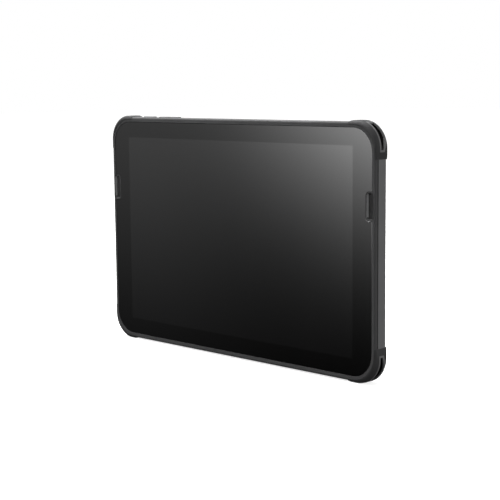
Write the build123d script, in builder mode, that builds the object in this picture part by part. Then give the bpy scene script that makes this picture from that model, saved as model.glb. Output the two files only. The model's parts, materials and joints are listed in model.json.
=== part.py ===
"""Rugged data collector: a 10.1 inch landscape tablet in a drop-proof case.

Frame: +X to the user's right, +Y from the screen to the back, +Z up. The tablet stands on its two
lower corner bumpers, with the origin below its middle and halfway through its thickness. Depths
are measured back from the front face of the cover glass, and heights from the case's middle.
"""

from build123d import *
import os

# ---------------------------------------------------------------- driving dimensions (mm)
body_width, body_height, body_corner = 254.8, 165.3, 16.5
bumper_grow = 1.0  # how far the corner bumpers stand out of the case's sides
bumper_proud = 0.4  # how far they stand out of its back
lip_proud, bezel_proud = 0.6, 0.3  # how far bumpers and bezel stand in front of the glass
back_depth = 13.2
slope_start, slope_inset = 9.9, 4.5  # the bevel between the case's sides and its back
bezel_round, bumper_round, back_round = 1.5, 3.0, 1.2

glass_width, glass_height, glass_corner, glass_thick = 248.7, 158.4, 16.0, 0.85
glass_gap, rim_width = 0.15, 2.0
screen_width, screen_height = 229.0, 143.0
ledge_width, ledge_height, ledge_depth, ledge_back = 233.2, 146.0, 1.0, 2.4
bezel_back, seam_depth, seal_inset = 1.6, 2.5, 1.2
port_x, port_end, port_low, port_high, port_corner, port_back = 119.2, 126.2, 21.0, 39.6, 2.8, 2.5
port_play, port_front, mouth_rim, throat_rim = 0.1, 0.05, 0.7, 1.2  # the rims are measured from its sides
mesh_front, mesh_back, sound_x, sound_end, sound_rim = 1.4, 1.6, 1.5, 122.0, 1.8

cavity_inset, cavity_depth = 3.8, 10.8
core_inset, core_depth = 2.2, 12.0
frame_front, frame_back = 4.6, 5.4
board_front, board_back = 6.4, 7.4

bay_half, bay_low, bay_high = 76.3, -48.3, 36.3
bay_floor, bay_skin, bay_wall, pack_play, pack_front = 7.0, 1.0, 1.5, 0.3, 7.5

case_screw_spots = [(s * 118.5, z) for s in (-1, 1) for z in (-54, -20, 48)]
case_screw_spots += [(s * 40, 75.4) for s in (-1, 1)] + [(s * 60, -75.4) for s in (-1, 1)]
case_screw_r, case_hole_r, pilot_r, head_r, sink_r = 1.0, 1.15, 1.05, 1.9, 2.1
head_front, head_back = 11.6, 12.8
boss_split = 6.1  # where the bezel's bosses meet the housing's
strap_spots = [(s * 90, z) for s in (-1, 1) for z in (-36, 24)]
strap_hole_r, insert_r, insert_front, strap_boss_r = 1.5, 2.4, 8.6, 4.2
board_screw_spots = [(-94, 66), (-36.5, 66), (10.5, 66), (84, 66), (-90, -46), (-96, 44)]

power_x, power_long = -90.6, 12.0
volume_x, volume_long = -68.9, 21.4
key_mid, key_thick, key_rise, key_play, key_flange = 5.9, 3.6, 0.6, 0.2, 1.0
key_low, key_step = 77.25, 78.1  # underside of the keys and top of their flanges
switch_reach = 7.0

door_x, door_play = 1.7, 0.15
door_low, door_high, door_front, door_back = -12.9, 6.0, 3.95, 7.95
hinge_r, pin_r, door_hole_r, pocket_floor = 0.85, 0.35, 0.42, 2.0

tray_low, tray_high, tray_front, tray_back, tray_end, tray_play = -40, -27, 5.75, 7.25, -104.5, 0.2
camera_spot, flash_spot = (97.0, 58.0), (84.5, 58.0)
window_r, window_front, flash_r = 6.0, 12.5, 2.2
latch_x0, latch_x1, latch_low, latch_high = 38.0, 66.0, 38.6, 46.6
latch_front, latch_play, latch_long = 11.0, 0.4, 15.0

arm_x, arm_z, ramp_x, ramp_z, arm_reach, arm_out = 104.7, 59.5, 2.4, 4.2, 12.0, 2.0
# The lanyard slots widen from their narrow end, slit_back deep, to slit_wide at slit_full.
slit_front, slit_back, slit_wide, slit_deep = 3.9, 5.9, 8.4, 2.4
slit_low, slit_full, slit_x = 65.3, 73.0, 118.0
rim_front, rim_back, rim_deep, lip_rise = 1.3, 1.2, 1.0, 0.1
foot_front, foot_back, foot_low, foot_end, foot_round = 7.5, 11.6, 80.0, 109.0, 0.8

half_w, half_h = body_width / 2, body_height / 2
mid_z = half_h + bumper_grow
glass_y = (lip_proud - back_depth - bumper_proud) / 2  # where depth 0 lies along Y
far = 200.0  # beyond the case on every side
sides = (("left", -1), ("right", 1))

os.makedirs("parts", exist_ok=True)


# ---------------------------------------------------------------- helpers
def at(depth):
    """The plane parallel to the screen at a depth. Its normal points to the front."""
    return Plane(origin=(0, glass_y + depth, mid_z), x_dir=(1, 0, 0), z_dir=(0, -1, 0))


def plate(front, back, width, height, center=(0, 0), radius=0.0, mode=Mode.ADD):
    """A plate between two depths, added to or cut from the piece being built."""
    with BuildSketch(at(back)) as outline:
        with Locations(center):
            if radius:
                RectangleRounded(width, height, radius)
            else:
                Rectangle(width, height)
    extrude(outline.sketch, amount=back - front, mode=mode)


def span(x0, x1, front, back, z0, z1, radius=0.0, mode=Mode.ADD):
    """A block given by its limits along X, depth and height."""
    center = ((x0 + x1) / 2, (z0 + z1) / 2)
    plate(front, back, abs(x1 - x0), z1 - z0, center, radius, mode)


def discs(front, back, radius, spots, mode=Mode.ADD):
    """Round bars along Y between two depths, one at each spot."""
    with BuildSketch(at(back)) as outline:
        with Locations(*spots):
            Circle(radius)
    extrude(outline.sketch, amount=back - front, mode=mode)


def edges_at(builder, depth):
    """The edges of a piece that lie flat at a depth."""
    y = glass_y + depth
    return builder.edges().filter_by_position(Axis.Y, y - 0.01, y + 0.01)


def case_form(grow, front, back, slope_from, slope_in, front_round=0.0, soft=0.0):
    """The tablet's outer form: a rounded slab with a bevelled back and a rounded front edge."""
    width, height, corner = body_width + 2 * grow, body_height + 2 * grow, body_corner + grow
    with BuildPart() as form:
        plate(front, slope_from, width, height, radius=corner)
        with BuildSketch(at(slope_from)) as wide:
            RectangleRounded(width, height, corner)
        with BuildSketch(at(back)) as narrow:
            RectangleRounded(width - 2 * slope_in, height - 2 * slope_in, corner - slope_in)
        loft([wide.sketch, narrow.sketch])
        if soft:
            fillet(edges_at(form, slope_from), soft)
            fillet(edges_at(form, back), soft)
        if front_round:
            fillet(edges_at(form, front), front_round)
    return form.part


def keep(builder, name):
    """Names a finished piece and writes its STEP file."""
    builder.part.label = name
    export_step(builder.part, f"parts/{name}.step")


# ---------------------------------------------------------------- shared forms
body_form = case_form(0, -bezel_proud, back_depth, slope_start, slope_inset, bezel_round, back_round)
bumper_back = back_depth + bumper_proud
bumper_form = case_form(
    bumper_grow, -lip_proud, bumper_back, slope_start, slope_inset, bumper_round, back_round
)
core_form = case_form(-core_inset, bezel_back, core_depth, slope_start - 0.8, slope_inset - 0.9)
cavity_form = case_form(-cavity_inset, bezel_back, cavity_depth, slope_start - 1.5, slope_inset - 2.1)

# The upper right corner's share of the case, with a ramp at each end of the bumper.
with BuildPart() as corner_zone:
    with BuildSketch(at(back_depth + 2)) as zone:
        with BuildLine():
            Polyline(
                (arm_x, half_h - arm_reach),
                (arm_x, half_h),
                (arm_x + arm_out * ramp_x, half_h + arm_out * bumper_grow),
                (half_w + arm_reach, half_h + arm_reach),
                (half_w + arm_out * bumper_grow, arm_z + arm_out * ramp_z),
                (half_w, arm_z),
                (half_w - arm_reach, arm_z),
                close=True,
            )
        make_face()
    extrude(amount=back_depth + 4)

with BuildPart() as corner_zones:
    add(corner_zone.part)
    mirror(about=Plane.YZ)
    mirror(about=Plane.XY.offset(mid_z))

rim_w, rim_h = glass_width + 2 * rim_width, glass_height + 2 * rim_width
with BuildPart() as bezel_cut:
    add(corner_zones.part)
    plate(-far, far, rim_w, rim_h, radius=glass_corner + rim_width, mode=Mode.SUBTRACT)

# ---------------------------------------------------------------- corner bumpers
out_w, out_h, out_r = body_width + 2 * bumper_grow, body_height + 2 * bumper_grow, body_corner + bumper_grow


def slot_form(outer, inner, ahead, behind, end):
    """A band along the bumper's outline, from outer proud to inner deep, that widens to the corner.

    It is the lanyard slot itself, grown by ahead and behind across its width and end at its ends.
    """
    front, back, wide = slit_front - ahead, slit_back + behind, slit_wide + behind
    with BuildPart() as piece:
        plate(front, wide, out_w + 2 * outer, out_h + 2 * outer, radius=out_r + outer)
        plate(front, wide, out_w - 2 * inner, out_h - 2 * inner, radius=out_r - inner, mode=Mode.SUBTRACT)
        span(slit_x - end, far, front, wide, slit_low - end, far, mode=Mode.INTERSECT)
        with BuildSketch(Plane.YZ) as side_view:
            with BuildLine():
                Polyline(
                    (glass_y + front, mid_z + slit_low - end),
                    (glass_y + back, mid_z + slit_low - end),
                    (glass_y + wide, mid_z + slit_full - end),
                    (glass_y + wide, mid_z + far),
                    (glass_y + front, mid_z + far),
                    close=True,
                )
            make_face()
        extrude(amount=far, mode=Mode.INTERSECT)
    return piece.part


slot = slot_form(2.0, slit_deep, 0, 0, 0)
with BuildPart() as slot_rim:
    add(slot_form(lip_rise, rim_deep, rim_front, rim_back, rim_front))
    add(slot, mode=Mode.SUBTRACT)

with BuildPart() as bumper:
    add(bumper_form)
    add(corner_zone.part, mode=Mode.INTERSECT)
    plate(-2, seam_depth, rim_w + 0.1, rim_h + 0.1, radius=glass_corner + rim_width, mode=Mode.SUBTRACT)
    add(core_form, mode=Mode.SUBTRACT)
    add(slot, mode=Mode.SUBTRACT)
    add(slot_rim.part, mode=Mode.SUBTRACT)

# The lower bumpers keep their full depth along the edge that the tablet stands on.
with BuildPart() as foot:
    plate(foot_front, foot_back, out_w, out_h, radius=out_r)
    add(corner_zone.part, mode=Mode.INTERSECT)
    span(0, foot_end, -far, far, foot_low, far, mode=Mode.INTERSECT)
    fillet(edges_at(foot, foot_back).sort_by(Axis.Z)[-3:], foot_round)

with BuildPart() as foot_bumper:
    add(bumper.part)
    add(foot.part)
    add(core_form, mode=Mode.SUBTRACT)

corners = [("top", False, "bumper", bumper), ("bottom", True, "bumper", foot_bumper)]
corners += [("top", False, "slot_rim", slot_rim), ("bottom", True, "slot_rim", slot_rim)]
for level, flip, kind, source in corners:
    for side, sign in sides:
        with BuildPart() as placed:
            shape = source.part
            if flip:
                shape = mirror(shape, about=Plane.XY.offset(mid_z), mode=Mode.PRIVATE)
            if sign < 0:
                shape = mirror(shape, about=Plane.YZ, mode=Mode.PRIVATE)
            add(shape)
        keep(placed, f"{kind}_{level}_{side}")

# ---------------------------------------------------------------- front: glass, bezel, seal
with BuildPart() as cover_glass:
    plate(0, glass_thick, glass_width, glass_height, radius=glass_corner)
    for side, sign in sides:
        span(sign * port_x, sign * far, 0, glass_thick, port_low, port_high, port_corner, Mode.SUBTRACT)
    chamfer(edges_at(cover_glass, 0), 0.15)
keep(cover_glass, "cover_glass")

with BuildPart() as glass_gasket:
    plate(glass_thick, ledge_depth, glass_width - 2, glass_height - 2, radius=glass_corner - 1)
    plate(glass_thick, ledge_depth, ledge_width + 1, ledge_height + 1, mode=Mode.SUBTRACT)
    for side, sign in sides:
        span(sign * (port_x - 0.5), sign * far, 0, far, port_low - 1, port_high + 1, mode=Mode.SUBTRACT)
keep(glass_gasket, "glass_gasket")

with BuildPart() as front_bezel:
    add(body_form)
    plate(bezel_back, far, far * 2, far * 2, mode=Mode.SUBTRACT)
    add(bezel_cut.part, mode=Mode.SUBTRACT)
    pocket_w, pocket_h = glass_width + 2 * glass_gap, glass_height + 2 * glass_gap
    plate(-2, ledge_depth, pocket_w, pocket_h, radius=glass_corner + glass_gap, mode=Mode.SUBTRACT)
    inset = 2 * cavity_inset + 1
    plate(ledge_depth, ledge_back, body_width - inset, body_height - inset, radius=body_corner - inset / 2)
    plate(0, far, ledge_width, ledge_height, mode=Mode.SUBTRACT)
    discs(ledge_depth, boss_split, 2.2, case_screw_spots)
    discs(ledge_depth + 0.5, boss_split, pilot_r, case_screw_spots, Mode.SUBTRACT)
    for side, sign in sides:
        span(sign * port_x, sign * port_end, -2, far, port_low, port_high, port_corner, Mode.SUBTRACT)
keep(front_bezel, "front_bezel")

with BuildPart() as case_seal:
    for inset, mode in ((2 * seal_inset, Mode.ADD), (2 * cavity_inset - 0.2, Mode.SUBTRACT)):
        width, height = body_width - inset, body_height - inset
        plate(bezel_back, seam_depth, width, height, radius=body_corner - inset / 2, mode=mode)
    plate(0, far, rim_w, rim_h, radius=glass_corner + rim_width, mode=Mode.INTERSECT)
    for side, sign in sides:
        span(sign * port_x, sign * port_end, 0, far, port_low, port_high, port_corner, Mode.SUBTRACT)
keep(case_seal, "case_seal")

port_mid, port_wide = (port_x + port_end) / 2, port_end - port_x - 2 * port_play
port_mid_z, port_tall = (port_low + port_high) / 2, port_high - port_low - 2 * port_play
for side, sign in sides:
    center = (sign * port_mid, port_mid_z)
    with BuildPart() as speaker_port:
        plate(port_front, port_back, port_wide, port_tall, center, port_corner - port_play)
        with BuildSketch(at(port_front)) as mouth:
            with Locations(center):
                width, height = port_wide - 2 * mouth_rim, port_tall - 2 * mouth_rim
                RectangleRounded(width, height, port_corner - mouth_rim)
        with BuildSketch(at(mesh_front)) as throat:
            with Locations(center):
                width, height = port_wide - 2 * throat_rim, port_tall - 2 * throat_rim
                RectangleRounded(width, height, port_corner - throat_rim)
        loft([mouth.sketch, throat.sketch], mode=Mode.SUBTRACT)
        plate(mesh_front, mesh_back, width, height, center, port_corner - throat_rim, Mode.SUBTRACT)
        x0, x1 = sign * (port_x + sound_x), sign * sound_end
        span(x0, x1, 0, far, port_low + sound_rim, port_high - sound_rim, 0.6, Mode.SUBTRACT)
    keep(speaker_port, f"speaker_port_{side}")
    with BuildPart() as speaker_mesh:
        plate(mesh_front, mesh_back, width, height, center, port_corner - throat_rim)
    keep(speaker_mesh, f"speaker_mesh_{side}")
    with BuildPart() as speaker_gasket:
        span(sign * port_x, sign * 123, port_back, 3.2, port_low + 0.5, port_high - 0.5)
        span(x0, x1, 0, far, port_low + sound_rim, port_high - sound_rim, mode=Mode.SUBTRACT)
    keep(speaker_gasket, f"speaker_gasket_{side}")
    with BuildPart() as speaker:
        span(sign * 104, sign * 118.8, 5.6, 10.2, 16, 44)
        span(sign * 116.6, sign * 122.6, 3.2, 5.8, port_low, port_high)
        span(sign * 116.8, sign * 118.8, 5.4, 7, port_low, port_high)
        span(x0, x1, 3.2, 5.3, port_low + sound_rim, port_high - sound_rim, mode=Mode.SUBTRACT)
    keep(speaker, f"speaker_{side}")

# ---------------------------------------------------------------- display stack and mid frame
with BuildPart() as display_panel:
    plate(glass_thick, 2.5, screen_width, screen_height)
keep(display_panel, "display_panel")

with BuildPart() as backlight_tray:
    plate(2.5, 4.3, screen_width + 0.6, screen_height + 0.6, radius=0.8)
keep(backlight_tray, "backlight_tray")

with BuildPart() as display_foam:
    plate(4.3, frame_front, 196, 136)
    plate(4.3, frame_front, 184, 124, mode=Mode.SUBTRACT)
keep(display_foam, "display_foam")

with BuildPart() as mid_frame:
    plate(frame_front, frame_back, 204, 144, radius=4)
    discs(frame_front, board_front, 2.0, board_screw_spots)
    discs(frame_front + 0.3, board_front, 0.75, board_screw_spots, Mode.SUBTRACT)
    plate(frame_front, frame_back, 90, 50, (10, -6), 6, Mode.SUBTRACT)
keep(mid_frame, "mid_frame")

# ---------------------------------------------------------------- rear housing
pocket_x = -half_w + pocket_floor
hinge_x = -half_w + hinge_r
with BuildPart() as core:
    add(core_form)
    plate(0, seam_depth, far * 2, far * 2, mode=Mode.SUBTRACT)

with BuildPart() as rear_housing:
    add(body_form)
    plate(-5, seam_depth, far * 2, far * 2, mode=Mode.SUBTRACT)
    add(corner_zones.part, mode=Mode.SUBTRACT)
    add(core.part)
    add(cavity_form, mode=Mode.SUBTRACT)
    discs(boss_split, core_depth, 2.6, case_screw_spots)
    discs(7.7, core_depth, strap_boss_r, strap_spots)
    low, high = bay_low - bay_wall, bay_high + bay_wall
    span(-bay_half - bay_wall, bay_half + bay_wall, bay_floor - bay_skin, core_depth, low, high)
    span(-bay_half, bay_half, bay_floor, far, bay_low, bay_high, 3.3, Mode.SUBTRACT)
    span(latch_x0 - 1, latch_x1 + 1, latch_front - 1, core_depth, latch_low - 1, latch_high + 1)
    span(latch_x0, latch_x1, latch_front, far, latch_low, latch_high, 1.5, Mode.SUBTRACT)
    span(-50.1, -29.9, 7.5, 10.7, bay_high - 1, bay_high + 2.4, mode=Mode.SUBTRACT)
    discs(0, far, case_hole_r, case_screw_spots, Mode.SUBTRACT)
    discs(head_front, far, sink_r, case_screw_spots, Mode.SUBTRACT)
    discs(insert_front, far, insert_r, strap_spots, Mode.SUBTRACT)
    discs(cavity_depth - 0.1, far, window_r - 1, [camera_spot], Mode.SUBTRACT)
    discs(window_front, far, window_r + 0.1, [camera_spot], Mode.SUBTRACT)
    discs(cavity_depth - 0.1, far, flash_r + 0.1, [flash_spot], Mode.SUBTRACT)
    for x, size in ((power_x, power_long), (volume_x, volume_long)):
        reach, thick = size / 2 + key_play, key_thick / 2 + key_play
        span(x - reach, x + reach, key_mid - thick, key_mid + thick, 75, far, mode=Mode.SUBTRACT)
    front, back = door_front - door_play, door_back + door_play
    span(-far, pocket_x, front, back, door_low - 1.3, door_high + 0.2, mode=Mode.SUBTRACT)
    span(-far, -120, 4.2, 7.9, -8, 2, 1.6, Mode.SUBTRACT)
    discs(3.3, 8.4, pin_r, [(hinge_x, door_low)], Mode.SUBTRACT)
    front, back = tray_front - tray_play, tray_back + tray_play
    span(-far, -120, front, back, tray_low - tray_play, tray_high + tray_play, mode=Mode.SUBTRACT)
    span(-17.1, 17.1, 4.1, 7.7, -far, -76, mode=Mode.SUBTRACT)
    for side, sign in sides:
        span(sign * port_x, sign * port_end, 0, port_back + 0.1, port_low, port_high, mode=Mode.SUBTRACT)
keep(rear_housing, "rear_housing")

# ---------------------------------------------------------------- fasteners
with BuildPart() as case_screws:
    discs(3.0, head_front, case_screw_r, case_screw_spots)
    discs(head_front, head_back, head_r, case_screw_spots)
    with BuildSketch(at(far)) as sockets:
        with Locations(*case_screw_spots):
            RegularPolygon(0.9, 6)
    extrude(sockets.sketch, amount=far - head_back + 0.8, mode=Mode.SUBTRACT)
keep(case_screws, "case_screws")

with BuildPart() as strap_inserts:
    discs(insert_front, back_depth, insert_r, strap_spots)
    discs(insert_front, back_depth, strap_hole_r, strap_spots, Mode.SUBTRACT)
keep(strap_inserts, "strap_inserts")

with BuildPart() as board_screws:
    discs(frame_front + 0.6, board_back, 0.7, board_screw_spots)
    discs(board_back, board_back + 0.9, 1.5, board_screw_spots)
keep(board_screws, "board_screws")

# ---------------------------------------------------------------- electronics
with BuildPart() as main_board:
    span(-100, 88, board_front, board_back, 41, 70)
    span(-100, -80, board_front, board_back, -50, 42)
    discs(0, far, 0.85, board_screw_spots, Mode.SUBTRACT)
keep(main_board, "main_board")

can_spots = ((-60, 34), (-14, 30), (32, 26))
with BuildPart() as shield_cans:
    for x, size in can_spots:
        plate(board_back, 9.4, size, 20, (x, 54))
        plate(board_back, 9.1, size - 0.6, 19.4, (x, 54), mode=Mode.SUBTRACT)
keep(shield_cans, "shield_cans")

with BuildPart() as processor:
    plate(board_back, 8.9, 15, 15, (-14, 54))
keep(processor, "processor")

with BuildPart() as memory_chips:
    for x in (-68, -52):
        plate(board_back, 8.5, 12, 11, (x, 54))
keep(memory_chips, "memory_chips")

with BuildPart() as heat_spreader:
    plate(9.4, 9.7, 84, 19, (-30, 54), 1)
keep(heat_spreader, "heat_spreader")

with BuildPart() as gnss_antenna:
    plate(board_back, 10.4, 16, 16, (66, 59))
keep(gnss_antenna, "gnss_antenna")

with BuildPart() as wifi_antenna:
    span(48, 88, 3.6, 6.8, 77.3, 78.1)
keep(wifi_antenna, "wifi_antenna")

with BuildPart() as cellular_antenna:
    span(66, 100, 3.6, 6.8, -78.1, -77.3)
keep(cellular_antenna, "cellular_antenna")

with BuildPart() as vibration_motor:
    with BuildSketch(Plane.YZ.offset(-78)) as motor:
        with Locations((glass_y + 8.0, mid_z - 62)):
            Circle(2.2)
    extrude(motor.sketch, amount=12)
keep(vibration_motor, "vibration_motor")

with BuildPart() as display_flex:
    span(-98, -84, 2.6, 7.6, -74, -73.8)
    span(-98, -84, board_back, 7.6, -74, -48.5)
    discs(0, far, 1.6, board_screw_spots, Mode.SUBTRACT)
keep(display_flex, "display_flex")

with BuildPart() as microphones:
    for x in (-70, 60):
        plate(5.5, board_front, 3.5, 2.6, (x, 68))
keep(microphones, "microphones")

# ---------------------------------------------------------------- top keys
with BuildPart() as key_board:
    span(-100, -56, 4.4, 7.4, 74.4, 75.2)
keep(key_board, "key_board")

with BuildPart() as key_switches:
    for x in (power_x, volume_x - switch_reach, volume_x + switch_reach):
        span(x - 2, x + 2, 4.6, 7.2, 75.2, 76.4)
        span(x - 0.8, x + 0.8, 5.1, 6.7, 76.4, 76.8)
keep(key_switches, "key_switches")

for name, x, size in (("power_button", power_x, power_long), ("volume_rocker", volume_x, volume_long)):
    with BuildPart() as key:
        front, back = key_mid - key_thick / 2, key_mid + key_thick / 2
        span(x - size / 2, x + size / 2, front, back, key_low, half_h + key_rise)
        fillet(key.edges().filter_by(Axis.Z), 1.2)
        fillet(key.faces().sort_by(Axis.Z)[-1].edges(), 0.5)
        reach = size / 2 + key_flange
        span(x - reach, x + reach, front, back - 1, key_low, key_step)
        if name == "volume_rocker":
            span(x - 0.6, x + 0.6, front - 1, back + 1, half_h + key_rise - 0.25, far, mode=Mode.SUBTRACT)
    keep(key, name)

# ---------------------------------------------------------------- battery pack and its latch
pack_half, pack_low, pack_high = bay_half - pack_play, bay_low + pack_play, bay_high - pack_play
pads = [(-46, 1.6), (-42, 1.6), (-38, 1.6), (-34, 1.6)]
with BuildPart() as battery_pack:
    span(-pack_half, pack_half, pack_front, back_depth, pack_low, pack_high, 3.0)
    chamfer(edges_at(battery_pack, back_depth), 0.4)
    span(latch_x0, latch_x1, 11.8, far, pack_high - 5, far, 1.5, Mode.SUBTRACT)
    for i in range(7):
        span(-30, 30, 12.7, far, pack_low + 5 + 2.2 * i, pack_low + 6.1 + 2.2 * i, 0.5, Mode.SUBTRACT)
    for x, size in pads:
        span(x - size / 2, x + size / 2, 8.2, 10, pack_high - 0.4, far, mode=Mode.SUBTRACT)
keep(battery_pack, "battery_pack")

with BuildPart() as battery_contacts:
    for x, size in pads:
        span(x - size / 2, x + size / 2, 8.2, 10, pack_high - 0.4, pack_high)
keep(battery_contacts, "battery_contacts")

with BuildPart() as battery_seal:
    seal_mid = (pack_low + pack_high) / 2
    plate(7.05, pack_front, 146, 78, (0, seal_mid), 4)
    plate(7.05, pack_front, 141, 73, (0, seal_mid), 3, Mode.SUBTRACT)
keep(battery_seal, "battery_seal")

with BuildPart() as battery_connector:
    span(-50, -30, 7.6, 10.6, bay_high + 0.1, bay_high + 4.2)
keep(battery_connector, "battery_connector")

with BuildPart() as battery_latch:
    x0 = latch_x0 + latch_play
    low, high = latch_low + latch_play, latch_high - latch_play
    span(x0, x0 + latch_long, latch_front + 0.2, 12.6, low, high, 1.0)
    for i in range(5):
        span(x0 + 2 + 2.4 * i, x0 + 3.2 + 2.4 * i, 12, 13.0, low + 1, high - 1)
keep(battery_latch, "battery_latch")

# ---------------------------------------------------------------- left side: port door and card
with BuildPart() as port_board:
    span(-120.2, -104, 7.8, 8.6, -13, 7)
keep(port_board, "port_board")

with BuildPart() as usb_socket:
    span(-123.2, -115.4, 4.4, 7.7, -7.6, 1.6, 1.4)
    span(-126, -116, 4.7, 7.4, -7.3, 1.3, 1.1, Mode.SUBTRACT)
    span(-122.2, -115.4, 5.7, 6.4, -6.4, 0.4)
keep(usb_socket, "usb_socket")

with BuildPart() as port_door:
    span(-half_w, -half_w + door_x, door_front, door_back, door_low, door_high)
    discs(door_front, door_back, hinge_r, [(hinge_x, door_low)])
    discs(door_front, door_back, door_hole_r, [(hinge_x, door_low)], Mode.SUBTRACT)
    span(-half_w - 1, -half_w + 0.7, 5.0, 6.9, door_high - 1.2, far, mode=Mode.SUBTRACT)
keep(port_door, "port_door")

with BuildPart() as door_pin:
    discs(3.3, 8.4, pin_r, [(hinge_x, door_low)])
keep(door_pin, "door_pin")

with BuildPart() as card_tray:
    span(-half_w, tray_end, tray_front, tray_back, tray_low, tray_high)
    span(-118, -107, tray_front + 0.5, tray_back, tray_low + 1, tray_high - 1, mode=Mode.SUBTRACT)
keep(card_tray, "card_tray")

with BuildPart() as card_socket:
    span(-121.6, -103.4, 5.0, 8.0, tray_low - 1.6, tray_high + 1.6)
    front, back = tray_front - tray_play, tray_back + tray_play
    span(-far, tray_end + 0.3, front, back, tray_low - tray_play, tray_high + tray_play, mode=Mode.SUBTRACT)
keep(card_socket, "card_socket")

# ---------------------------------------------------------------- bottom: dock contacts
pad_places = [-12.25 + 3.5 * i for i in range(8)]
with BuildPart() as dock_block:
    span(-17, 17, 4.2, 7.6, -82.3, -77)
    for x in pad_places:
        span(x - 1, x + 1, 4.9, 6.9, -82.3, -81.9, mode=Mode.SUBTRACT)
keep(dock_block, "dock_block")

with BuildPart() as dock_contacts:
    for x in pad_places:
        span(x - 1, x + 1, 4.9, 6.9, -82.25, -81.9)
keep(dock_contacts, "dock_contacts")

# ---------------------------------------------------------------- rear camera and flash
with BuildPart() as rear_camera:
    plate(6.0, 10.5, 9, 9, camera_spot, 0.8)
    discs(10.5, 12.3, 3.4, [camera_spot])
    discs(11.6, 12.4, 2.0, [camera_spot], Mode.SUBTRACT)
keep(rear_camera, "rear_camera")

with BuildPart() as camera_window:
    discs(window_front, back_depth - 0.1, window_r, [camera_spot])
keep(camera_window, "camera_window")

with BuildPart() as flash_led:
    plate(board_back, 12.0, 3, 3, flash_spot)
keep(flash_led, "flash_led")

with BuildPart() as flash_lens:
    discs(12.2, back_depth - 0.1, flash_r, [flash_spot])
keep(flash_lens, "flash_lens")
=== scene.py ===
import json
import math

import bmesh
import bpy
from mathutils import Matrix, Vector


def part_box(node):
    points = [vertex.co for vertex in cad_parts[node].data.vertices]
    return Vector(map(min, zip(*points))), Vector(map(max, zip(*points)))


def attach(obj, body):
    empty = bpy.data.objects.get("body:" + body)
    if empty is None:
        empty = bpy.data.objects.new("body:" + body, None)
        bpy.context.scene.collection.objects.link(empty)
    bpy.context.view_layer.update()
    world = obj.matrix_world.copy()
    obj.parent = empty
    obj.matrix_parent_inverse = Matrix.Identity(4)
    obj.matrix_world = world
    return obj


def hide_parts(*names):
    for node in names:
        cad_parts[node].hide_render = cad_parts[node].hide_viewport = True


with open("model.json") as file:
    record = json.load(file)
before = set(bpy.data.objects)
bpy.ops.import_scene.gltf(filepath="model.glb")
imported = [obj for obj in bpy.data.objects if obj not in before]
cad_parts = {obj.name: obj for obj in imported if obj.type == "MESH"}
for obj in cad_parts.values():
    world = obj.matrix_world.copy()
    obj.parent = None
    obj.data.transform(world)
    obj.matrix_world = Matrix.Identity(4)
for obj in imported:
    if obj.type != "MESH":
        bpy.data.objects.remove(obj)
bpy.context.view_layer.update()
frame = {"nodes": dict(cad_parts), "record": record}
nodes = frame["nodes"]
record = frame["record"]
slot_of = {s["node"]: s["material_slot"] for s in record["subparts"]}
body_of = {n: body for body, members in record["behaviour"]["bodies"].items() for n in members}

MM = 0.001
glass_low, glass_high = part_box("cover_glass")
GLASS_Y = glass_low.y  # the front face of the glass
MID_Z = (glass_low.z + glass_high.z) / 2


def added(name, data):
    """A new object in the scene."""
    thing = bpy.data.objects.new(name, data)
    bpy.context.scene.collection.objects.link(thing)
    return thing


def stand_in(piece, name):
    """Puts a piece in the place of a CAD node, on the node's body."""
    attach(piece, body_of[name])
    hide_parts(name)


# ---------------------------------------------------------------- shader parts
made = {}  # the materials made by shader, by name


def shader(name):
    """A new node material's parts: the tree, the main shader and the place vector."""
    material = bpy.data.materials.new(name)
    material.use_nodes = True
    made[name] = material
    tree = material.node_tree
    place = tree.nodes.new("ShaderNodeTexCoord").outputs["Object"]
    return tree, tree.nodes["Principled BSDF"], place


def ramp(tree, source, span, first, last):
    """A colour that turns from the first to the last as the source crosses a span."""
    node = tree.nodes.new("ShaderNodeValToRGB")
    for stop, position, color in zip(node.color_ramp.elements, span, (first, last)):
        stop.position = position
        stop.color = (*color, 1)
    tree.links.new(source, node.inputs["Fac"])
    return node.outputs["Color"]


def remap(tree, source, span, to):
    """Maps a value's span to another."""
    node = tree.nodes.new("ShaderNodeMapRange")
    for socket, value in zip(("From Min", "From Max", "To Min", "To Max"), (*span, *to)):
        node.inputs[socket].default_value = value
    tree.links.new(source, node.inputs["Value"])
    return node.outputs["Result"]


def noise(tree, place, scale, detail, stretch=(1, 1, 1)):
    """Noise in metres: scale is the number of grains to the metre."""
    mapping = tree.nodes.new("ShaderNodeMapping")
    mapping.inputs["Scale"].default_value = stretch
    tree.links.new(place, mapping.inputs["Vector"])
    node = tree.nodes.new("ShaderNodeTexNoise")
    node.inputs["Scale"].default_value = scale
    node.inputs["Detail"].default_value = detail
    tree.links.new(mapping.outputs["Vector"], node.inputs["Vector"])
    return node.outputs["Fac"]


def bump(tree, main, height, strength, distance):
    """Roughens a shader's surface by a height, over a distance in metres."""
    node = tree.nodes.new("ShaderNodeBump")
    node.inputs["Strength"].default_value = strength
    node.inputs["Distance"].default_value = distance
    tree.links.new(height, node.inputs["Height"])
    tree.links.new(node.outputs["Normal"], main.inputs["Normal"])


def math_node(tree, operation, a, b):
    """The outcome of an operation on two values, each a number or a socket."""
    node = tree.nodes.new("ShaderNodeMath")
    node.operation = operation
    for socket, value in zip(node.inputs, (a, b)):
        if isinstance(value, (int, float)):
            socket.default_value = value
        else:
            tree.links.new(value, socket)
    return node.outputs["Value"]


# ---------------------------------------------------------------- materials
PATCH_SCALE, PATCH_TONES, PATCH_GLOSS = 38, (0.35, 0.68), (0.3, 0.7)  # soft patches of handling wear
GLOSS_DRIFT = 0.08  # how far the roughness moves from patch to patch


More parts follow.
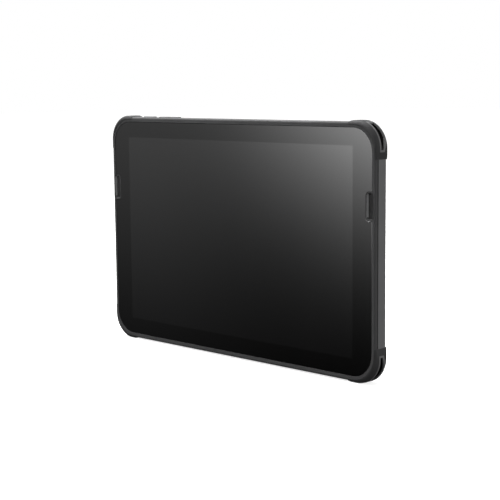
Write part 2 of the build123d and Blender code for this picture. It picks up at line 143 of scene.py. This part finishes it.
def grained(name, color, rough, grain=2600, depth=0.06, strength=0.35, spread=0.05, metallic=0.0,
            specular=0.5, stretch=(1, 1, 1)):
    """A moulded or cast surface: a fine grain, its depth in millimetres, with uneven tone and gloss."""
    tree, main, place = shader(name)
    patches = noise(tree, place, PATCH_SCALE, detail=4)
    grains = noise(tree, place, grain, detail=2, stretch=stretch)
    dark = tuple(c * (1 - spread) for c in color)
    light = tuple(c * (1 + spread) for c in color)
    tree.links.new(ramp(tree, patches, PATCH_TONES, dark, light), main.inputs["Base Color"])
    dull, worn = rough + GLOSS_DRIFT, rough - GLOSS_DRIFT * rough
    tree.links.new(remap(tree, patches, PATCH_GLOSS, (dull, worn)), main.inputs["Roughness"])
    bump(tree, main, grains, strength, depth * MM)
    main.inputs["Metallic"].default_value = metallic
    main.inputs["Specular IOR Level"].default_value = specular


def metal(name, color, rough, grain, depth=0.03, strength=0.2, spread=0.06, stretch=(1, 1, 1)):
    """Bare metal, brushed along X where its grain is stretched."""
    grained(name, color, rough, grain, depth, strength, spread, metallic=1.0, stretch=stretch)


def glossy(name, color, rough, coat=0.0, specular=0.5):
    """A polished surface with faint smears in its tone and gloss."""
    tree, main, place = shader(name)
    smears = noise(tree, place, scale=22, detail=5, stretch=(1, 1, 0.35))
    dust = noise(tree, place, scale=900, detail=2)
    dark = tuple(c * 0.92 for c in color)
    tree.links.new(ramp(tree, smears, (0.3, 0.7), dark, color), main.inputs["Base Color"])
    smeared = remap(tree, smears, span=(0.3, 0.75), to=(rough, rough * 1.25))
    tree.links.new(smeared, main.inputs["Roughness"])
    bump(tree, main, dust, strength=0.02, distance=0.01 * MM)
    main.inputs["Specular IOR Level"].default_value = specular
    main.inputs["Coat Weight"].default_value = coat


def mesh_weave(name):
    """Black woven mesh: a grid of wires about 0.65 mm apart, with painted shade in the holes between
    them.
    """
    tree, main, place = shader(name)
    waves = []
    for direction in ("X", "Z"):
        wave = tree.nodes.new("ShaderNodeTexWave")
        wave.bands_direction = direction
        wave.inputs["Scale"].default_value = 480
        tree.links.new(place, wave.inputs["Vector"])
        waves.append(wave.outputs["Fac"])
    wires = math_node(tree, "MAXIMUM", *waves)
    # The holes between the wires get the darker colour, as painted shade.
    color = ramp(tree, wires, (0.45, 0.9), (0.001, 0.001, 0.001), (0.008, 0.008, 0.008))
    tree.links.new(color, main.inputs["Base Color"])
    bump(tree, main, wires, strength=0.6, distance=0.1 * MM)
    main.inputs["Roughness"].default_value = 0.6
    main.inputs["Specular IOR Level"].default_value = 0.15


grained("bumper_rubber", (0.022, 0.022, 0.0225), 0.6, 2400, depth=0.07, strength=0.4, specular=0.06)
# Near black painted shade for the faces inside the lanyard slots.
grained("slot_painted_shade", (0.003, 0.003, 0.003), 0.8, 2400, specular=0.04)
grained("case_dark", (0.033, 0.033, 0.0335), 0.6, 3000, depth=0.04, strength=0.3, specular=0.07)
grained("case_grey", (0.058, 0.058, 0.059), 0.5, specular=0.22)
# Painted light: a light tone for the sideways-facing walls in the mouths of the speaker ports.
grained("port_rim", (0.16, 0.16, 0.162), 0.5, depth=0.03, strength=0.2, specular=0.2)
grained("seal_rubber", (0.006, 0.006, 0.006), 0.75, specular=0.15)
grained("key_plastic", (0.033, 0.033, 0.034), 0.5, 3000, depth=0.04, strength=0.25, specular=0.25)
grained("pack_plastic", (0.05, 0.05, 0.052), 0.58, 1700, depth=0.1, strength=0.5, specular=0.3)
grained("black_plastic", (0.006, 0.006, 0.006), 0.6, specular=0.2)
mesh_weave("mesh_metal")
metal("tray_metal", (0.5, 0.5, 0.51), 0.35, 900, stretch=(0.04, 1, 1))
metal("frame_metal", (0.55, 0.55, 0.57), 0.42, 1500, depth=0.05, strength=0.3)
grained("board_green", (0.01, 0.12, 0.05), 0.4, 700, depth=0.04, strength=0.3)
grained("chip_black", (0.015, 0.015, 0.015), 0.55, 2200)
metal("copper", (0.75, 0.36, 0.18), 0.35, 1200, depth=0.02, spread=0.08)
grained("ceramic", (0.7, 0.66, 0.56), 0.4, 1500, depth=0.03, strength=0.2)
metal("steel", (0.12, 0.12, 0.125), 0.38, 1800, spread=0.1)
metal("brass", (0.7, 0.5, 0.2), 0.32, 1800, spread=0.08)
metal("gold", (0.83, 0.62, 0.25), 0.25, 1400, depth=0.02, strength=0.15)
grained("led_yellow", (0.8, 0.6, 0.1), 0.4, 1500)
glossy("lens_glass", (0.004, 0.004, 0.006), 0.06, coat=0.4)
glossy("lens_clear", (0.62, 0.62, 0.58), 0.18, coat=0.3)
glossy("glass_black", (0.0004, 0.0004, 0.0004), 0.08)
glossy("screen", (0.0014, 0.0014, 0.0015), 0.08, specular=0.68)

for name, node in nodes.items():
    node.data.materials.clear()
    node.data.materials.append(made[slot_of[name]])


# ---------------------------------------------------------------- shells with eased edges
MERGE_GAP, FLAT_ANGLE = 2e-6, math.radians(0.5)  # metres and bend across which CAD triangles are joined
EASE_ANGLE, EASE_STEPS = math.radians(35), 2
KEY_EASE, BUMPER_EASE, RIM_EASE = 0.15 * MM, 0.2 * MM, 0.12 * MM
CORNERS = ("top_left", "top_right", "bottom_left", "bottom_right")

# The lanyard slots: how far behind the glass they start and end, and how deep in the bumper they lie.
SLOT_AHEAD, SLOT_BEHIND, SLOT_SKIN, SLOT_FLOOR = 3.8 * MM, 8.5 * MM, 0.9 * MM, 2.5 * MM
BUMPER_R = 17.5 * MM
bumper_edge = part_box("bumper_top_right")[1]


def in_slot(place):
    """Whether a place on a bumper is inside its lanyard slot."""
    over_x = max(abs(place.x) - (bumper_edge.x - BUMPER_R), 0)
    over_z = max(abs(place.z - MID_Z) - (bumper_edge.z - MID_Z - BUMPER_R), 0)
    inset = BUMPER_R - math.hypot(over_x, over_z)
    return SLOT_SKIN < inset < SLOT_FLOOR and SLOT_AHEAD < place.y - GLASS_Y < SLOT_BEHIND


def joined_mesh(name):
    """A copy of a CAD piece's mesh, with its triangles joined into smooth faces."""
    mesh = nodes[name].data.copy()
    build = bmesh.new()
    build.from_mesh(mesh)
    bmesh.ops.remove_doubles(build, verts=build.verts, dist=MERGE_GAP)
    bmesh.ops.dissolve_limit(build, angle_limit=FLAT_ANGLE, verts=build.verts, edges=build.edges)
    for face in build.faces:
        face.smooth = True
    build.to_mesh(mesh)
    build.free()
    if "custom_normal" in mesh.attributes:
        mesh.attributes.remove(mesh.attributes["custom_normal"])
    return mesh


def eased(name, width):
    """A copy of a CAD piece with its sharp edges eased, and painted shade on its faces inside a lanyard
    slot.
    """
    mesh = joined_mesh(name)
    if name.startswith("bumper"):
        # The faces inside a lanyard slot get the painted shade.
        mesh.materials.append(made["slot_painted_shade"])
        for face in mesh.polygons:
            face.material_index = int(in_slot(face.center))
    piece = added(name + "_shell", mesh)
    ease = piece.modifiers.new("ease", "BEVEL")
    ease.width, ease.segments = width, EASE_STEPS
    ease.limit_method, ease.angle_limit = "ANGLE", EASE_ANGLE
    ease.use_clamp_overlap = True
    piece.modifiers.new("shade", "WEIGHTED_NORMAL").keep_sharp = True
    stand_in(piece, name)


eased("power_button", KEY_EASE)
eased("volume_rocker", KEY_EASE)
for corner in CORNERS:
    eased("bumper_" + corner, BUMPER_EASE)
    eased("slot_rim_" + corner, RIM_EASE)


# ---------------------------------------------------------------- speaker ports
PAINTED_LIGHT_FROM, PAINTED_LIGHT_DEEP = 0.5 * MM, 1.4 * MM  # where the painted light lies: in from the port's sides, and back from its front
WALL_SIDEWAYS, WALL_UP = 0.6, 0.2  # a side wall's normal points sideways, and hardly up


def port_with_painted_light(name):
    """A speaker port as in the CAD, with painted light: a lighter colour on the walls of its mouth that
    face sideways.
    """
    piece = added(name + "_painted_light", nodes[name].data.copy())
    piece.data.materials.append(made["port_rim"])
    low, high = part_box(name)
    for face in piece.data.polygons:
        x, y, z = face.center
        inside = min(x - low.x, high.x - x, z - low.z, high.z - z) > PAINTED_LIGHT_FROM
        # Only walls that face sideways get the painted light.
        wall = abs(face.normal.x) > WALL_SIDEWAYS and face.normal.z < WALL_UP
        face.material_index = int(inside and wall and y < low.y + PAINTED_LIGHT_DEEP)
    stand_in(piece, name)


for side in ("left", "right"):
    port_with_painted_light("speaker_port_" + side)


# ---------------------------------------------------------------- the glass face
PANEL_W, PANEL_H = 216.96 * MM, 135.6 * MM  # the lit area of a 10.1 inch panel
GLASS_R, EDGE_ROUND = 16.0 * MM, 0.2 * MM
PORT_PLAY, NOTCH_R = 0.1 * MM, 2.8 * MM
CORNER_STEPS, NOTCH_STEPS, EDGE_STEPS = 24, 8, 4
WELD_GAP = 1e-7  # metres between points that are one
FACE_ON = 0.995  # a face this square to the front is flat, and the rest are smooth
SQUARE = ((-1, -1), (1, -1), (1, 1), (-1, 1))

half_glass_w, half_glass_h = (glass_high.x - glass_low.x) / 2, (glass_high.z - glass_low.z) / 2
half_panel_w, half_panel_h = PANEL_W / 2, PANEL_H / 2
port_low, port_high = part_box("speaker_port_right")
notch_x = port_low.x - PORT_PLAY
notch_low, notch_high = port_low.z - MID_Z - PORT_PLAY, port_high.z - MID_Z + PORT_PLAY


def arc(cx, cz, radius, start, turn, steps):
    """Points along an arc in the screen's plane, angles in degrees."""
    angles = [math.radians(start + turn * i / steps) for i in range(steps + 1)]
    return [(cx + radius * math.cos(t), cz + radius * math.sin(t)) for t in angles]


def glass_outline(inset):
    """The cover glass's outline with its two speaker notches, drawn in by an inset."""
    w, h, r = half_glass_w - inset, half_glass_h - inset, GLASS_R - inset
    nx, lo, hi, nr = notch_x - inset, notch_low - inset, notch_high + inset, NOTCH_R + inset
    right = arc(w - r, -h + r, r, -90, 90, CORNER_STEPS) + [(w, lo)]
    right += arc(nx + nr, lo + nr, nr, 270, -90, NOTCH_STEPS)
    right += arc(nx + nr, hi - nr, nr, 180, -90, NOTCH_STEPS)
    right += [(w, hi)] + arc(w - r, h - r, r, 0, 90, CORNER_STEPS)
    return right + [(-x, z) for x, z in reversed(right)]


def window_outline(outline):
    """The nearest point of the lit window's edge to each point of an outline."""
    across = [min(half_panel_w, max(-half_panel_w, x)) for x, z in outline]
    up = [min(half_panel_h, max(-half_panel_h, z)) for x, z in outline]
    return list(zip(across, up))


def loop(build, points, y):
    """Vertices at points about the screen's middle, at one depth."""
    return [build.verts.new((x, y, MID_Z + z)) for x, z in points]


def bridge(build, a, b):
    """A band of faces between two closed loops."""
    count = len(a)
    for i in range(count):
        build.faces.new((a[i], a[(i + 1) % count], b[(i + 1) % count], b[i]))


def finish_glass(name, build, slot):
    """Turns a build into a piece of the cover glass."""
    bmesh.ops.recalc_face_normals(build, faces=build.faces)
    mesh = bpy.data.meshes.new(name)
    for face in build.faces:
        face.smooth = abs(face.normal.y) < FACE_ON
    build.to_mesh(mesh)
    build.free()
    piece = added(name, mesh)
    mesh.materials.append(made[slot])
    stand_in(piece, "cover_glass")


def glass_border():
    """The printed border: forward along the edge, over its round, in to the window and back."""
    build = bmesh.new()
    sections = [(0, glass_high.y), (0, glass_low.y + EDGE_ROUND)]  # the inset and the depth of each
    for i in range(1, EDGE_STEPS + 1):
        angle = math.radians(90 * i / EDGE_STEPS)
        inset, drop = EDGE_ROUND * (1 - math.cos(angle)), EDGE_ROUND * (1 - math.sin(angle))
        sections.append((inset, glass_low.y + drop))
    loops = [loop(build, glass_outline(inset), y) for inset, y in sections]
    window = window_outline(glass_outline(0))
    loops += [loop(build, window, glass_low.y), loop(build, window, glass_high.y)]
    for a, b in zip(loops, loops[1:] + loops[:1]):
        bridge(build, a, b)
    bmesh.ops.remove_doubles(build, verts=build.verts, dist=WELD_GAP)
    finish_glass("glass_border", build, "glass_black")


def glass_window():
    """The clear middle of the glass, over the lit panel."""
    build = bmesh.new()
    corners = [(half_panel_w * x, half_panel_h * z) for x, z in SQUARE]
    front, rear = loop(build, corners, glass_low.y), loop(build, corners, glass_high.y)
    bridge(build, front, rear)
    build.faces.new(front)
    build.faces.new(rear)
    finish_glass("glass_window", build, "screen")


glass_border()
glass_window()


# ---------------------------------------------------------------- stage
FLOOR_REACH, FLOOR_TONE, FLOOR_GLOW = 6.0, 0.36, 0.74


def floor_paper():
    """Pale paper with a faint cloudiness, which also glows so that it stays white."""
    tree, main, place = shader("floor_paper")
    clouds = noise(tree, place, scale=1.5, detail=2)
    dark, light = (FLOOR_TONE * 0.99,) * 3, (FLOOR_TONE,) * 3
    tree.links.new(ramp(tree, clouds, (0.3, 0.7), dark, light), main.inputs["Base Color"])
    main.inputs["Roughness"].default_value = 0.9
    main.inputs["Specular IOR Level"].default_value = 0.1
    main.inputs["Emission Color"].default_value = (1, 1, 1, 1)
    main.inputs["Emission Strength"].default_value = FLOOR_GLOW
    return made["floor_paper"]


def stage_panel(name, corners, material):
    """A flat four-sided piece of the stage."""
    build = bmesh.new()
    build.faces.new([build.verts.new(corner) for corner in corners])
    mesh = bpy.data.meshes.new(name)
    build.to_mesh(mesh)
    build.free()
    mesh.materials.append(material)
    piece = added(name, mesh)
    return piece


def studio_world():
    """White light from above and all round, which fades below the horizon."""
    world = bpy.data.worlds.new("studio")
    bpy.context.scene.world = world
    world.use_nodes = True
    tree = world.node_tree
    direction = tree.nodes.new("ShaderNodeTexCoord").outputs["Generated"]
    split = tree.nodes.new("ShaderNodeSeparateXYZ")
    tree.links.new(direction, split.inputs["Vector"])
    level = remap(tree, split.outputs["Z"], span=(-0.5, -0.06), to=(0.2, 1.0))
    tree.links.new(level, tree.nodes["Background"].inputs["Strength"])
    tree.nodes["Background"].inputs["Color"].default_value = (1.0, 1.0, 1.0, 1)


def area_light(name, place, target, size, power):
    """A rectangular lamp that faces a target, its power in watts."""
    light = bpy.data.lights.new(name, "AREA")
    light.shape = "RECTANGLE"
    light.size, light.size_y = size
    light.energy = power
    lamp = added(name, light)
    lamp.location = place
    lamp.rotation_euler = (Vector(target) - Vector(place)).to_track_quat("-Z", "Y").to_euler()


bpy.context.scene.view_settings.view_transform = "Standard"
floor_corners = [(FLOOR_REACH * x, FLOOR_REACH * y, 0) for x, y in SQUARE]
floor = stage_panel("floor", floor_corners, floor_paper())
floor.visible_glossy = floor.visible_diffuse = False
studio_world()
area_light("key", place=(1.3, 0.05, 0.5), target=(0, 0, 0.08), size=(0.8, 0.8), power=9)
area_light("top", place=(-0.6, -0.05, 1.2), target=(0, 0, 0.1), size=(1.0, 0.5), power=72)


# ---------------------------------------------------------------- reflector
# A dim screen a metre in front of the glass, with two soft lamps on it. Only reflections see it.
REFLECTOR_AWAY, REFLECTOR_REACH, REFLECTOR_DIM = 1.0, 4.0, 0.01
SOFT_LAMPS = (  # the place along X and above the glass's middle, the reach each way and the strength
    (-0.45, 0.30, 0.36, 0.27, 23.0),
    (-1.30, 0.13, 0.37, 0.37, 0.65),
)
reflector_y = GLASS_Y - REFLECTOR_AWAY


def soft_lamp(tree, place, center, reach, strength):
    """An oval glow that fades smoothly from its centre."""
    steps = tree.nodes.new("ShaderNodeMapping")
    steps.vector_type = "TEXTURE"  # takes the centre away, then divides by the reach
    steps.inputs["Location"].default_value = center
    steps.inputs["Scale"].default_value = reach
    tree.links.new(place, steps.inputs["Vector"])
    gap = tree.nodes.new("ShaderNodeVectorMath")
    gap.operation = "LENGTH"
    tree.links.new(steps.outputs["Vector"], gap.inputs[0])
    share = gap.outputs["Value"]
    fade = math_node(tree, "POWER", math.exp(-1), math_node(tree, "MULTIPLY", share, share))
    return math_node(tree, "MULTIPLY", fade, strength)


def reflector_glow():
    """The glow of the soft lamps on a dim ground."""
    material = bpy.data.materials.new("reflector")
    material.use_nodes = True
    tree = material.node_tree
    tree.nodes.remove(tree.nodes["Principled BSDF"])
    place = tree.nodes.new("ShaderNodeTexCoord").outputs["Object"]
    total = REFLECTOR_DIM
    for x, z, reach_x, reach_z, strength in SOFT_LAMPS:
        center, reach = (x, reflector_y, MID_Z + z), (reach_x, 1, reach_z)
        total = math_node(tree, "ADD", soft_lamp(tree, place, center, reach, strength), total)
    shine = tree.nodes.new("ShaderNodeEmission")
    tree.links.new(total, shine.inputs["Strength"])
    tree.links.new(shine.outputs["Emission"], tree.nodes["Material Output"].inputs["Surface"])
    return material


reflector_corners = [(REFLECTOR_REACH * x, reflector_y, REFLECTOR_REACH * z) for x, z in SQUARE]
reflector = stage_panel("reflector", reflector_corners, reflector_glow())
reflector.visible_camera = reflector.visible_diffuse = False
reflector.visible_shadow = reflector.visible_transmission = False


# ---------------------------------------------------------------- camera
AZIMUTH, ELEVATION, ROLL, DISTANCE = 44.89, 7.45, -0.53, 0.8851  # degrees and metres
AIM_RIGHT, AIM_DOWN = 17.18 * MM, 5.77 * MM  # from the middle of the glass
LENS, SENSOR, NEAREST = 93.58, 36.0, 0.01  # millimetres, and metres for the nearest thing seen

camera_data = bpy.data.cameras.new("camera")
camera_data.lens, camera_data.sensor_width, camera_data.clip_start = LENS, SENSOR, NEAREST
camera = added("camera", camera_data)
aim = Matrix.Translation((AIM_RIGHT, GLASS_Y, MID_Z - AIM_DOWN))
yaw = Matrix.Rotation(math.radians(AZIMUTH), 4, "Z")
pitch = Matrix.Rotation(math.radians(90 - ELEVATION), 4, "X")
roll = Matrix.Rotation(math.radians(ROLL), 4, "Z")
camera.matrix_world = aim @ yaw @ pitch @ roll @ Matrix.Translation((0, 0, DISTANCE))
bpy.context.scene.camera = camera
